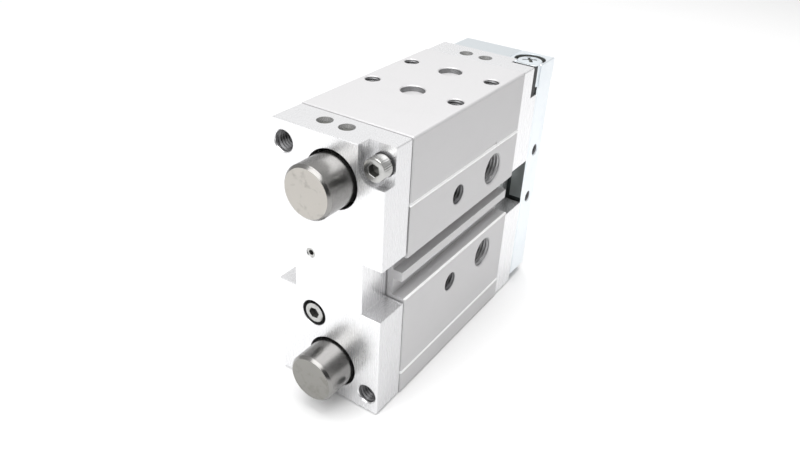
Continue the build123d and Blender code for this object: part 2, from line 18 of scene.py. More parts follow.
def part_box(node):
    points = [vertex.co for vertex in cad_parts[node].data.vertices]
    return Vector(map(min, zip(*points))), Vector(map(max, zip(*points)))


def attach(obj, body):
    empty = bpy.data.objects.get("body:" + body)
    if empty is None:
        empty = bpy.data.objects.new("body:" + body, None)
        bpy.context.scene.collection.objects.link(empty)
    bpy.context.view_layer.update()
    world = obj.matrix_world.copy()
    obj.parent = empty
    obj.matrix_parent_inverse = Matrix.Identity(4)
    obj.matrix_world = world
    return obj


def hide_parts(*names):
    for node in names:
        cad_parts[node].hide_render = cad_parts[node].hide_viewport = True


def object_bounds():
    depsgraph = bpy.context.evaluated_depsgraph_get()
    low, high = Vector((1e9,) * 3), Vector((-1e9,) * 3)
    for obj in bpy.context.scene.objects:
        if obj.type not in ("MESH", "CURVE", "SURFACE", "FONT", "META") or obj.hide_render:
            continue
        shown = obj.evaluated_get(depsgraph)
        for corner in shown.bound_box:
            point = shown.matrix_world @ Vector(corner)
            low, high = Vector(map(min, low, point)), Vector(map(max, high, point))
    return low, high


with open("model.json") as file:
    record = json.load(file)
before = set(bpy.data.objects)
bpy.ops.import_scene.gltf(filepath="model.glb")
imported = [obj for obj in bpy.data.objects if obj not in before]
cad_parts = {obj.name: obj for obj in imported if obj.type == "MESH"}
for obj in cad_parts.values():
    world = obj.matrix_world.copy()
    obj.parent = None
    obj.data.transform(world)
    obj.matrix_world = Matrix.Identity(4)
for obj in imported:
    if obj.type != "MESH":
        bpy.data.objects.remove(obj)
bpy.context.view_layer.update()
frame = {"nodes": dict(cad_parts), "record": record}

nodes = frame["nodes"]

# %% [markdown]
# ## Sizes
# Everything is in metres, and a place is worked out from the box of the CAD piece that carries it wherever
# that is possible. So a thread stays in its hole when the model changes.

# %% Places taken from the model
MM = 0.001
body_lo, body_hi = (np.array(c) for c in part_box("body"))
cap_lo, cap_hi = (np.array(c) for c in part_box("front_cap"))
rear_lo, rear_hi = (np.array(c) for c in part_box("rear_cap"))
plate_lo, plate_hi = (np.array(c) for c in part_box("end_plate"))
middle_z = (body_lo[2] + body_hi[2]) / 2
plate_middle_z = (plate_lo[2] + plate_hi[2]) / 2
plate_middle_y = (plate_lo[1] + plate_hi[1]) / 2
print("body", body_lo, body_hi, "plate", plate_lo, plate_hi)

# %% [markdown]
# A hole, a screw or a rod is always made upright, with +Z out of its mouth. One of six turns then brings it
# to the face that it belongs to.

# %% The six turns
OUT_TOP = np.array(((1, 0, 0), (0, 1, 0), (0, 0, 1)), float)
OUT_UNDER = np.array(((1, 0, 0), (0, -1, 0), (0, 0, -1)), float)
OUT_RIGHT = np.array(((0, 0, 1), (0, 1, 0), (-1, 0, 0)), float)
OUT_LEFT = np.array(((0, 0, -1), (0, 1, 0), (1, 0, 0)), float)
OUT_FRONT = np.array(((1, 0, 0), (0, 0, -1), (0, 1, 0)), float)
OUT_REAR = np.array(((1, 0, 0), (0, 0, 1), (0, -1, 0)), float)


def spun(degrees):
    """The turn about +Z by an angle: cosine and sine of the angle in its first two rows."""
    cos, sin = math.cos(math.radians(degrees)), math.sin(math.radians(degrees))
    return np.array(((cos, -sin, 0), (sin, cos, 0), (0, 0, 1)))


def place(points, turn, at):
    """The points turned, then moved: each point p becomes turn times p, plus at."""
    return points @ turn.T + np.asarray(at, float)


print("top turn", OUT_TOP.tolist(), "spun by 90", spun(90.0).round(3).tolist())

# %% [markdown]
# ## Surfaces from numbers
# A machined piece is mostly turned or drilled, so nearly all of it is a grid: one parameter goes round the
# axis and the other along a profile. Numpy computes all the points at once, and one helper turns any such
# grid into a closed mesh. Drawing each piece by hand would be slower, and its threads would never be even.

# %% Make a mesh from a grid of points
def grid_mesh(name, points, closed_profile=False, sharp_degrees=35.0):
    """A mesh from points[i, j]: i runs along the profile, j round the axis. Faces join each point to the
    next in both directions. An open profile gets a fan to one point at each end, which closes the mesh."""
    rows, columns = points.shape[:2]
    index = np.arange(rows * columns).reshape(rows, columns)
    across = np.roll(index, -1, axis=1)
    if closed_profile:
        below, below_across = np.roll(index, -1, axis=0), np.roll(across, -1, axis=0)
        quads = np.stack((index, across, below_across, below), -1).reshape(-1, 4)
    else:
        quads = np.stack((index[:-1], across[:-1], across[1:], index[1:]), -1).reshape(-1, 4)
    vertices = points.reshape(-1, 3)
    faces = [quads]
    if not closed_profile:
        first, last = rows * columns, rows * columns + 1
        vertices = np.vstack((vertices, points[0].mean(0), points[-1].mean(0)))
        start = np.stack((np.full(columns, first), across[0], index[0]), -1)
        end = np.stack((np.full(columns, last), index[-1], across[-1]), -1)
        faces += [start, end]
    mesh = bpy.data.meshes.new(name)
    mesh.from_pydata(vertices.tolist(), [], [f for group in faces for f in group.tolist()])
    mesh.validate()
    mesh.polygons.foreach_set("use_smooth", np.full(len(mesh.polygons), True))
    mesh.set_sharp_from_angle(angle=math.radians(sharp_degrees))
    piece = bpy.data.objects.new(name, mesh)
    bpy.context.scene.collection.objects.link(piece)
    return piece


# %% [markdown]
# A grid can come out with its faces turned inwards, depending on which way its profile runs. The fix is the
# same for all: let Blender work out the outside of the closed mesh. Several equal pieces are joined into
# one object.

# %% Finish a mesh
def turn_outwards(piece):
    """Recalculates the faces of a closed mesh so that all of them point outwards."""
    work = bmesh.new()
    work.from_mesh(piece.data)
    bmesh.ops.recalc_face_normals(work, faces=work.faces)
    work.to_mesh(piece.data)
    work.free()


def join(name, pieces):
    """One object made of several, with one mesh."""
    target = pieces[0]
    if len(pieces) > 1:
        with bpy.context.temp_override(active_object=target, selected_editable_objects=pieces):
            bpy.ops.object.join()
    target.name = name
    target.data.name = name
    return target


def repeat(name, points, places, closed):
    """The same shape set in each place, as one object."""
    made = []
    for number, (at, turn) in enumerate(places):
        piece = grid_mesh(name + str(number), place(points, turn, at), closed_profile=closed)
        turn_outwards(piece)
        made.append(piece)
    return join(name, made)


def settle(piece, finish, body, replaced=None):
    """Gives a piece its finish and slot, hides the CAD node that it stands for, and hangs it on the body that
    it rides on.
    """
    piece.data.materials.append(finish)
    if replaced:
        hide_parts(replaced)
    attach(piece, body)
    print(piece.name, len(piece.data.polygons), "faces on the", body)
    return piece


# %% [markdown]
# ## Finishes
# The housing is bead-blasted and anodised, the caps are milled and clear anodised, the plate is zinc
# plated, and the rods are ground. Each finish is a Principled BSDF whose small changes of colour, roughness
# and height come from shared node groups. A flat colour would look like a drawing: real metal is never
# quite even.

# %% Node helpers
def node(tree, kind, **settings):
    """A new node with its settings. An input is given as in_0 or in_Name: a value, or a socket to link."""
    made = tree.nodes.new(kind)
    for key, value in settings.items():
        if not key.startswith("in_"):
            setattr(made, key, value)
            continue
        label = key[3:]
        socket = made.inputs[int(label) if label.isdigit() else label.replace("_", " ")]
        if isinstance(value, bpy.types.NodeSocket):
            tree.links.new(value, socket)
        else:
            socket.default_value = value
    return made


def new_group(name, inputs, outputs):
    """An empty shader node group with named inputs, each with its kind and value, and named outputs."""
    group = bpy.data.node_groups.new(name, "ShaderNodeTree")
    for label, kind, value in inputs:
        socket = group.interface.new_socket(label, in_out="INPUT", socket_type=kind)
        if value is not None:
            socket.default_value = value
    for label, kind in outputs:
        group.interface.new_socket(label, in_out="OUTPUT", socket_type=kind)
    return group, group.nodes.new("NodeGroupInput"), group.nodes.new("NodeGroupOutput")


FLOAT, COLOUR, VECTOR = "NodeSocketFloat", "NodeSocketColor", "NodeSocketVector"

# %% [markdown]
# ### Grain
# Blasted and anodised aluminium has a fine, even grain: tiny pits that catch the light. Very fine noise
# gives both its height and a slight change of shade.

# %% The grain group
def make_grain():
    """Height and shade are fine noise; the shade is the colour times 1 plus or minus a small share."""
    group, inside, outside = new_group(
        "blasted_grain",
        (("Vector", VECTOR, None), ("Colour", COLOUR, (0.5, 0.5, 0.5, 1)), ("Scale", FLOAT, 3000.0),
         ("Shade change", FLOAT, 0.06)),
        (("Colour", COLOUR), ("Height", FLOAT)),
    )
    given = inside.outputs
    fine = node(group, "ShaderNodeTexNoise", in_Vector=given["Vector"], in_Scale=given["Scale"],
                in_Detail=3.0, in_Roughness=0.6)
    around = node(group, "ShaderNodeMath", operation="SUBTRACT", in_0=fine.outputs["Fac"], in_1=0.5)
    times = node(group, "ShaderNodeMath", operation="MULTIPLY_ADD", in_0=around.outputs[0],
                 in_1=given["Shade change"], in_2=1.0)
    shade = node(group, "ShaderNodeVectorMath", operation="SCALE", in_0=given["Colour"],
                 in_Scale=times.outputs[0])
    group.links.new(shade.outputs[0], outside.inputs["Colour"])
    group.links.new(fine.outputs["Fac"], outside.inputs["Height"])
    return group


grain_group = make_grain()
print(grain_group.name, len(grain_group.nodes), "nodes")

# %% [markdown]
# ### Streaks
# A milling cutter and an extrusion die both leave long fine lines in one direction. Noise that is stretched
# along that direction gives them.

# %% The streak group
def make_streaks():
    """Noise on coordinates times Stretch, so it is long where the stretch is small. It gives a height,
    and a roughness that wanders round its middle value."""
    group, inside, outside = new_group(
        "machined_streaks",
        (("Vector", VECTOR, None), ("Stretch", VECTOR, (1.0, 1.0, 1.0)), ("Roughness", FLOAT, 0.35),
         ("Roughness change", FLOAT, 0.15)),
        (("Roughness", FLOAT), ("Height", FLOAT)),
    )
    given = inside.outputs
    stretched = node(group, "ShaderNodeVectorMath", operation="MULTIPLY", in_0=given["Vector"],
                     in_1=given["Stretch"])
    lines = node(group, "ShaderNodeTexNoise", in_Vector=stretched.outputs[0], in_Scale=1.0, in_Detail=4.0,
                 in_Roughness=0.65)
    around = node(group, "ShaderNodeMath", operation="SUBTRACT", in_0=lines.outputs["Fac"], in_1=0.5)
    rough = node(group, "ShaderNodeMath", operation="MULTIPLY_ADD", in_0=around.outputs[0],
                 in_1=given["Roughness change"], in_2=given["Roughness"])
    group.links.new(rough.outputs[0], outside.inputs["Roughness"])
    group.links.new(lines.outputs["Fac"], outside.inputs["Height"])
    return group


streak_group = make_streaks()
print(streak_group.name, len(streak_group.nodes), "nodes")

# %% [markdown]
# ### Handling marks
# A used cylinder has faint smudges and rubbed places. They are broad and soft, and only darken the metal a
# little.

# %% The handling group
def make_handling():
    """A broad noise, cut so that only its high places count, mixes the colour towards the mark's colour."""
    group, inside, outside = new_group(
        "handling_marks",
        (("Vector", VECTOR, None), ("Colour", COLOUR, (0.5, 0.5, 0.5, 1)),
         ("Mark", COLOUR, (0.3, 0.3, 0.3, 1)), ("Scale", FLOAT, 60.0), ("Amount", FLOAT, 0.2)),
        (("Colour", COLOUR),),
    )
    given = inside.outputs
    broad = node(group, "ShaderNodeTexNoise", in_Vector=given["Vector"], in_Scale=given["Scale"],
                 in_Detail=5.0, in_Roughness=0.6, in_Distortion=0.4)
    cut = node(group, "ShaderNodeMapRange", in_0=broad.outputs["Fac"], in_1=0.52, in_2=0.74, in_3=0.0,
               in_4=1.0)
    amount = node(group, "ShaderNodeMath", operation="MULTIPLY", in_0=cut.outputs[0], in_1=given["Amount"])
    mix = node(group, "ShaderNodeMix", data_type="RGBA", in_Factor=amount.outputs[0], in_6=given["Colour"],
               in_7=given["Mark"])
    group.links.new(mix.outputs[2], outside.inputs["Colour"])
    return group


handling_group = make_handling()
print(handling_group.name, len(handling_group.nodes), "nodes")

# %% [markdown]
# ### From groups to a metal
# Every metal here uses the same chain: handling marks on the colour, grain on that, streaks for the
# roughness, and both heights into one bump. Only the numbers differ, so one function builds them all.

# %% Build a metal
BUMP_DEEP = 0.0001


def metal(name, colour, mark, roughness, stretch, metallic=1.0, change=0.12, grain_scale=3000.0, shade=0.05,
          marks=0.15, mark_scale=60.0, bump=0.05, grain_bump=0.3):
    """A metal whose colour is the given one with marks and grain, and whose bump adds streaks to grain."""
    material = bpy.data.materials.new(name)
    material.use_nodes = True
    tree = material.node_tree
    shader = tree.nodes["Principled BSDF"]
    shader.inputs["Metallic"].default_value = metallic
    where = node(tree, "ShaderNodeTexCoord").outputs["Object"]
    handled = node(tree, "ShaderNodeGroup", node_tree=handling_group, in_Vector=where,
                   in_Colour=(*colour, 1), in_Mark=(*mark, 1), in_Scale=mark_scale, in_Amount=marks)
    grain = node(tree, "ShaderNodeGroup", node_tree=grain_group, in_Vector=where, in_Scale=grain_scale,
                 in_Colour=handled.outputs["Colour"], in_Shade_change=shade)
    streaks = node(tree, "ShaderNodeGroup", node_tree=streak_group, in_Vector=where, in_Stretch=stretch,
                   in_Roughness=roughness, in_Roughness_change=change)
    height = node(tree, "ShaderNodeMath", operation="MULTIPLY_ADD", in_0=grain.outputs["Height"],
                  in_1=grain_bump, in_2=streaks.outputs["Height"])
    relief = node(tree, "ShaderNodeBump", in_Strength=bump, in_Distance=BUMP_DEEP,
                  in_Height=height.outputs[0])
    tree.links.new(grain.outputs["Colour"], shader.inputs["Base Color"])
    tree.links.new(streaks.outputs["Roughness"], shader.inputs["Roughness"])
    tree.links.new(relief.outputs["Normal"], shader.inputs["Normal"])
    return material


# %% [markdown]
# ### The plain metals
# The streaks run along X on the plate, along Z on the caps and along Y on the extruded housing. Small
# turned pieces have none, only an even grain.

# %% The plain metals
ALONG_X = (60.0, 4000.0, 4000.0)
ALONG_Y = (4000.0, 40.0, 4000.0)
ALONG_Z = (4000.0, 4000.0, 60.0)
EVERY_WAY = (900.0, 900.0, 900.0)

CLEAR_ANODISED = dict(colour=(0.80, 0.80, 0.81), mark=(0.68, 0.68, 0.69), roughness=0.27, stretch=ALONG_Z,
                      metallic=0.8, bump=0.08)
ZINC_PLATED = dict(colour=(0.80, 0.84, 0.87), mark=(0.64, 0.70, 0.75), roughness=0.32, stretch=ALONG_X,
                   metallic=0.8, change=0.2, marks=0.45, mark_scale=35.0, bump=0.06)
cap_metal = metal("clear_anodised_cap", **CLEAR_ANODISED)
zinc_plate = metal("zinc_plated_steel", **ZINC_PLATED)
screw_steel = metal("bright_screw_steel", (0.46, 0.46, 0.45), (0.2, 0.2, 0.19), 0.24, EVERY_WAY, marks=0.5,
                    mark_scale=400.0, bump=0.06)
# The threads' metal is painted dark, as painted shade inside the holes.
shaded_thread_metal = metal("cut_thread_painted_shade", (0.2, 0.2, 0.205), (0.1, 0.1, 0.1), 0.5, EVERY_WAY, marks=0.4,
                     mark_scale=300.0, bump=0.04)
port_metal = metal("cut_port_aluminium", (0.42, 0.42, 0.425), (0.24, 0.24, 0.24), 0.5, EVERY_WAY, marks=0.4,
                   mark_scale=300.0, bump=0.04)
black_steel = metal("blackened_steel", (0.045, 0.045, 0.047), (0.1, 0.1, 0.1), 0.42, EVERY_WAY,
                    metallic=0.6, marks=0.3, mark_scale=400.0, bump=0.05)
# Nearly black steel that paints shade: in the plug holes, the screw sockets, the cross and the recess.
shade_steel = metal("painted_shade_steel", (0.12, 0.12, 0.112), (0.08, 0.08, 0.075), 0.6, EVERY_WAY,
                   metallic=0.7, marks=0.4, mark_scale=500.0, bump=0.06)
# A darker metal that paints shade on the walls of the seats and of the inner screw's counterbore.
bored_wall_shade = metal("bored_wall_painted_shade", (0.3, 0.3, 0.305), (0.2, 0.2, 0.2), 0.5, EVERY_WAY, marks=0.3,
                    mark_scale=400.0, bump=0.05)
bearing_bronze = metal("bearing_bronze", (0.62, 0.43, 0.22), (0.4, 0.27, 0.14), 0.4, ALONG_Y, marks=0.3)
magnet_grey = metal("dark_magnet", (0.12, 0.12, 0.125), (0.08, 0.08, 0.08), 0.5, EVERY_WAY, metallic=0.3)
print(len(bpy.data.materials), "metals")

# %% [markdown]
# ### Where a finish changes
# One solid can carry two finishes, such as a ground side and a faced end. A mask tells them apart: it
# compares a coordinate or a part of the normal with a limit, so it stays sharp at any distance and needs no
# picture.

# %% Masks
FACING = 0.9


def combine(tree, operation, masks):
    """One mask from several: their product with MULTIPLY, the highest of them with MAXIMUM."""
    result = masks[0]
    for mask in masks[1:]:
        result = node(tree, "ShaderNodeMath", operation=operation, in_0=result, in_1=mask).outputs[0]
    return result


def coordinates(tree):
    """The coordinate node that the metal already has."""
    return next(made for made in tree.nodes if made.bl_idname == "ShaderNodeTexCoord")


def mask_where(tree, *tests):
    """1 where every test holds, 0 elsewhere: the product of the tests. A test is an output of the
    coordinates, an axis, LESS_THAN or GREATER_THAN, and the limit."""
    results = []
    for output, axis, operation, limit in tests:
        split = node(tree, "ShaderNodeSeparateXYZ", in_0=coordinates(tree).outputs[output])
        test = node(tree, "ShaderNodeMath", operation=operation, in_0=split.outputs[axis],
                    in_1=float(limit))
        results.append(test.outputs[0])
    return combine(tree, "MULTIPLY", results)


# %% [markdown]
# The mask then mixes the metal's own colour with another. The other colour is either plain or comes from
# nodes of its own.

# %% Change a colour
def cover(tree, mask, colour):
    """The colour is own times 1 minus mask, plus other times mask. The other is a value or a socket."""
    base = tree.nodes["Principled BSDF"].inputs["Base Color"]
    mix = node(tree, "ShaderNodeMix", data_type="RGBA", in_Factor=mask, in_6=base.links[0].from_socket,
               in_7=colour)
    tree.links.new(mix.outputs[2], base)


def recolour(material, colour, *tests):
    """The plain colour takes the place of the material's own wherever every test holds."""
    cover(material.node_tree, mask_where(material.node_tree, *tests), (*colour, 1))


# %% [markdown]
# ### The housing's grey
# The housing is darker than the caps and quite matt. Both its scribed lines were cut after anodising, so
# bright bare metal shows in them. Along the lower lip of the sensor slot a thin bright line is a painted
# highlight, where the light catches the edge. Three bands of height find these lines, and a second mask
# keeps them to the sides.

# %% The housing material
# The third band is a painted highlight on the lower lip of the sensor slot.
BRIGHT_BANDS = ((30.9 * MM, 0.75 * MM), (-45.4 * MM, 0.75 * MM), (-9.45 * MM, 0.17 * MM))
SIDE_MARGIN = 0.9 * MM
HOUSING_METALLIC = 0.6
BARE_METAL_AND_HIGHLIGHT = (0.95, 0.95, 0.95)


def make_housing_grey():
    """The blasted grey, with bare metal in the scribed lines and a painted highlight on the slot's lip,
    within half a band's width of each band's height.
    """
    material = metal("grey_anodised_housing", (0.565, 0.56, 0.565), (0.47, 0.465, 0.47), 0.55, ALONG_Y,
                     metallic=HOUSING_METALLIC, change=0.08, grain_scale=2400.0, shade=0.12, marks=0.12,
                     bump=0.12, grain_bump=1.2)
    tree = material.node_tree
    bands = [mask_where(tree, ("Object", "Z", "GREATER_THAN", middle_z + up - half),
                        ("Object", "Z", "LESS_THAN", middle_z + up + half)) for up, half in BRIGHT_BANDS]
    sides = [mask_where(tree, ("Object", "X", "GREATER_THAN", body_hi[0] - SIDE_MARGIN)),
             mask_where(tree, ("Object", "X", "LESS_THAN", SIDE_MARGIN - body_hi[0]))]
    bare_and_highlight = combine(tree, "MULTIPLY", (combine(tree, "MAXIMUM", bands), combine(tree, "MAXIMUM", sides)))
    cover(tree, bare_and_highlight, (*BARE_METAL_AND_HIGHLIGHT, 1))
    coated = node(tree, "ShaderNodeMath", operation="MULTIPLY_ADD", in_0=bare_and_highlight, in_1=-HOUSING_METALLIC,
                  in_2=HOUSING_METALLIC)
    tree.links.new(coated.outputs[0], tree.nodes["Principled BSDF"].inputs["Metallic"])
    return material


housing_grey = make_housing_grey()
print(housing_grey.name, len(BRIGHT_BANDS), "bright bands")

# %% [markdown]
# ### Ground rods
# A guide rod is ground and polished round its side, and its end is only faced in a lathe. The grinding
# leaves rings round the rod, so they follow Y. The end face is found by its normal: where that points along
# Y, the steel is duller, warmer and worn in patches. The lower rod's end is painted darker than the upper
# one's, as painted shade.

# %% The rod material
FACED_ROUGHNESS = 0.5
UPPER_END, LOWER_END_SHADE, WORN_END = (0.48, 0.46, 0.43), (0.29, 0.285, 0.268), (0.17, 0.16, 0.145)


def make_rod_steel():
    """Polished steel with fine rings along Y; dull turned steel on faces whose normal lies along Y."""
    material = metal("ground_rod_steel", (0.275, 0.27, 0.262), (0.23, 0.225, 0.215), 0.25,
                     (300.0, 6000.0, 300.0), change=0.1, shade=0.02, marks=0.2, mark_scale=120.0, bump=0.03)
    tree = material.node_tree
    ground = tree.nodes["Principled BSDF"].inputs["Roughness"]
    faced = combine(tree, "MAXIMUM", (mask_where(tree, ("Normal", "Y", "GREATER_THAN", FACING)),
                                      mask_where(tree, ("Normal", "Y", "LESS_THAN", -FACING))))
    rough = node(tree, "ShaderNodeMix", data_type="FLOAT", in_Factor=faced,
                 in_2=ground.links[0].from_socket, in_3=FACED_ROUGHNESS)
    tree.links.new(rough.outputs[0], ground)
    # Painted shade: the lower rod's end gets the darker colour.
    lower = mask_where(tree, ("Object", "Z", "LESS_THAN", middle_z))
    end_colour = node(tree, "ShaderNodeMix", data_type="RGBA", in_Factor=lower, in_6=(*UPPER_END, 1),
                      in_7=(*LOWER_END_SHADE, 1))
    worn = node(tree, "ShaderNodeGroup", node_tree=handling_group, in_Colour=end_colour.outputs[2],
                in_Vector=coordinates(tree).outputs["Object"], in_Mark=(*WORN_END, 1), in_Scale=260.0,
                in_Amount=0.6)
    cover(tree, faced, worn.outputs["Colour"])
    return material


rod_steel = make_rod_steel()
print(rod_steel.name, len(rod_steel.node_tree.nodes), "nodes")

# %% [markdown]
# ### Rubber and plastic
# Gaskets, the stop pad and the wipers are black rubber or urethane: no metal, a little gloss, and a fine
# moulded grain.

# %% Rubber and plastic
def soft(name, colour, roughness, grain_bump):
    """A dark non-metal with fine grain, through the same chain as the metals."""
    return metal(name, colour, tuple(min(1.0, c * 2.2) for c in colour), roughness, EVERY_WAY, metallic=0.0,
                 change=0.1, grain_scale=1800.0, shade=0.2, marks=0.3, mark_scale=150.0, bump=0.15,
                 grain_bump=grain_bump)


black_rubber = soft("black_rubber", (0.012, 0.012, 0.013), 0.55, 1.0)
black_plastic = soft("black_plastic", (0.02, 0.02, 0.021), 0.42, 0.5)
print(black_rubber.name, black_plastic.name)

# %% [markdown]
# ### The end plate
# The plate's inner face, which one sees in the slit behind the rear cap's notch, is painted dull dark grey
# as painted shade, with a painted black shadow along the slit's bottom and its inner side. The top is
# painted a shade darker than the back, for how the light falls. All of this is colour on one flat face, so
# masks are enough and no new piece is needed.

# %% The plate's finish
NOTCH_X, NOTCH_LOW, NOTCH_HIGH = 15.8 * MM, 45.1 * MM, 66.9 * MM
BAND_X, BAND_LOW = 17.5 * MM, 47.3 * MM
PLATE_TOP_SHADE, PLATE_INNER_SHADE, SLIT_SHADOW = (0.66, 0.70, 0.725), (0.28, 0.305, 0.3), (0.03, 0.035, 0.035)
notch_height = (("Object", "Z", "GREATER_THAN", NOTCH_LOW), ("Object", "Z", "LESS_THAN", NOTCH_HIGH))
in_slit = (("Normal", "Y", "LESS_THAN", -FACING), ("Object", "X", "GREATER_THAN", NOTCH_X), *notch_height)

plate_finish = metal("zinc_plated_plate", **ZINC_PLATED)
# Painted shade on the top and the inner face, and a painted shadow along the slit.
recolour(plate_finish, PLATE_TOP_SHADE, ("Normal", "Z", "GREATER_THAN", FACING))
recolour(plate_finish, PLATE_INNER_SHADE, ("Normal", "Y", "LESS_THAN", -FACING))
recolour(plate_finish, SLIT_SHADOW, *in_slit, ("Object", "Z", "LESS_THAN", BAND_LOW))
recolour(plate_finish, SLIT_SHADOW, *in_slit, ("Object", "X", "LESS_THAN", BAND_X))
print(plate_finish.name, len(plate_finish.node_tree.nodes), "nodes")

# %% [markdown]
# ### The stop block
# The top of the block's nose is painted dark along its front edge: painted shade, where it stands a hair
# away from the black pad.

# %% The block's finish
NOSE_SHADE_Y, NOSE_SHADE = 46.25 * MM, (0.06, 0.07, 0.07)
block_finish = metal("zinc_plated_block", **ZINC_PLATED)
# Painted shade along the front edge of the nose's top.
recolour(block_finish, NOSE_SHADE, ("Normal", "Z", "GREATER_THAN", FACING),
         ("Object", "Y", "LESS_THAN", NOSE_SHADE_Y))
print(block_finish.name, len(block_finish.node_tree.nodes), "nodes")

# %% [markdown]
# ### The caps
# The front cap's right side is painted a shade darker than its front, as painted shade for the side that
# the light falls on less.
# In the rear cap the inner wall of the notch lies deep in the slit, and it is painted nearly black as the
# shade there. A narrow band of X picks out that wall.

# %% The caps' finishes
SIDE_SKIN, WALL_HALF = 0.5 * MM, 0.1 * MM
CAP_SIDE_SHADE, NOTCH_WALL_SHADE = (0.67, 0.67, 0.68), (0.06, 0.065, 0.065)
# Painted shade on the front cap's right side.
recolour(cap_metal, CAP_SIDE_SHADE, ("Normal", "X", "GREATER_THAN", FACING),
         ("Object", "X", "GREATER_THAN", cap_hi[0] - SIDE_SKIN))
rear_cap_finish = metal("clear_anodised_rear_cap", **CLEAR_ANODISED)
# Painted shade on the notch's inner wall.
recolour(rear_cap_finish, NOTCH_WALL_SHADE, ("Normal", "X", "GREATER_THAN", FACING), *notch_height,
         ("Object", "X", "GREATER_THAN", NOTCH_X - WALL_HALF),
         ("Object", "X", "LESS_THAN", NOTCH_X + WALL_HALF))
print(rear_cap_finish.name, len(rear_cap_finish.node_tree.nodes), "nodes")

# %% [markdown]
# ## Dressing the solids
# Where a solid has the right shape it stays and only takes its finish: that of its material, or its own.

# %% Give the solids their finishes
finish_of = {
    "grey_anodised": housing_grey, "clear_anodised": cap_metal, "plated_steel": zinc_plate,
    "ground_steel": rod_steel, "screw_steel": screw_steel, "bearing_bronze": bearing_bronze,
    "black_rubber": black_rubber, "black_plastic": black_plastic, "magnet": magnet_grey,
}
own_finish = {"end_plate": plate_finish, "rear_cap": rear_cap_finish, "stop_block": block_finish}
for part in frame["record"]["subparts"]:
    solid = nodes[part["node"]]
    solid.data.materials.clear()
    solid.data.materials.append(own_finish.get(part["node"], finish_of[part["material_slot"]]))

# %% [markdown]
# ## Threads
# The tapped holes and ports are plain bores in the solids. In the photograph the light picks out the
# threads just inside each mouth, so every hole that can be seen gets a real screw thread: a thin sleeve
# whose inner wall winds in and out, with its outer wall hidden in the metal. A boolean cut would need a far
# heavier mesh.

# %% Wind a thread
DEPTH_SHARE, FLAT_SHARE = 0.54, 0.12
SLEEVE_AHEAD, SLEEVE_BEHIND = 0.01 * MM, 0.05 * MM


def thread_sleeve(wall_r, pitch, length, start, around=40, steps_per_turn=8):
    """The inner wall's radius is wall_r less the thread's depth times a flattened triangle wave of (depth /
    pitch + angle / full turn); it fades in over the first turn. The outer wall is a plain cylinder."""
    deep = DEPTH_SHARE * pitch
    along = np.linspace(0, length, int(length / pitch * steps_per_turn) + 1)
    angle = np.linspace(0, 2 * np.pi, around, endpoint=False)
    s, a = np.meshgrid(along, angle, indexing="ij")
    wave = np.abs(2 * ((s / pitch + a / (2 * np.pi)) % 1.0) - 1)
    wave = np.clip((wave - FLAT_SHARE) / (1 - 2 * FLAT_SHARE), 0, 1)
    fade = np.clip(s / pitch, 0, 1) * np.clip((length - s) / (0.5 * pitch), 0, 1)
    radius = wall_r - SLEEVE_AHEAD - deep * wave * fade
    inner = np.stack((radius * np.cos(a), radius * np.sin(a), -start - s), -1)
    hidden = np.full((2, around), wall_r + SLEEVE_BEHIND)
    ends = np.array((-start - length, -start))[:, None] * np.ones((2, around))
    outer = np.stack((hidden * np.cos(angle), hidden * np.sin(angle), ends), -1)
    return np.concatenate((inner, outer))


def thread_piece(name, places, thread, length, start, body, finish):
    """The same thread in several holes, as one object that rides on their body."""
    return settle(repeat(name, thread_sleeve(*thread, length, start), places, True), finish, body)


# %% [markdown]
# The holes' places repeat the model's: four tapped holes in the top and the underside, two in each side,
# two ports, two tapped corners of the front cap, and those of the end plate.

# %% The housing's threads
M5, M6, M8 = (2.5 * MM, 0.8 * MM), (3.0 * MM, 1.0 * MM), (4.0 * MM, 1.25 * MM)
PORT_THREAD = (6.58 * MM, 1.337 * MM)
HOLE_X, TOP_ROW, UNDER_ROW = 18.7 * MM, 13.75 * MM, 20.0 * MM
SIDE_ROW, RIGHT_Y, LEFT_Y, PORT_Y = 20.5 * MM, -15.0 * MM, 0.0, 13.0 * MM
MOUTH, PORT_MOUTH, CAP_MOUTH = 0.3 * MM, 0.45 * MM, 0.4 * MM
TOP_DEEP, SIDE_DEEP, PORT_DEEP = 8.5 * MM, 11.0 * MM, 10.6 * MM

top_places = [((x, y, body_hi[2]), OUT_TOP) for x in (-HOLE_X, HOLE_X) for y in (-TOP_ROW, TOP_ROW)]
under_places = [((x, y, body_lo[2]), OUT_UNDER) for x in (-HOLE_X, HOLE_X) for y in (-UNDER_ROW, UNDER_ROW)]
thread_piece("m6_threads", top_places + under_places, M6, TOP_DEEP, MOUTH, "housing", shaded_thread_metal)

side_places = [((body_hi[0], RIGHT_Y, middle_z + up * SIDE_ROW), OUT_RIGHT) for up in (-1, 1)]
side_places += [((body_lo[0], LEFT_Y, middle_z + up * SIDE_ROW), OUT_LEFT) for up in (-1, 1)]
thread_piece("m8_side_threads", side_places, M8, SIDE_DEEP, MOUTH, "housing", shaded_thread_metal)

port_places = [((body_hi[0], PORT_Y, middle_z + up * SIDE_ROW), OUT_RIGHT) for up in (-1, 1)]
thread_piece("port_threads", port_places, PORT_THREAD, PORT_DEEP, PORT_MOUTH, "housing", port_metal)

# %% The front cap's and the plate's threads
CORNER_X, CORNER_Z, CORNER_DEEP = 18.8 * MM, 47.9 * MM, 13.5 * MM
PLATE_X, PLATE_Z, LOAD_DEEP = 15.0 * MM, 24.0 * MM, 12.8 * MM
PLATE_SIDE, EDGE_DEEP = 12.2 * MM, 9.0 * MM
ROD_X = 2.0 * MM

corner_places = [((-side * CORNER_X, cap_lo[1], middle_z + side * CORNER_Z), OUT_FRONT) for side in (-1, 1)]
thread_piece("cap_corner_threads", corner_places, M8, CORNER_DEEP, CAP_MOUTH, "housing", shaded_thread_metal)

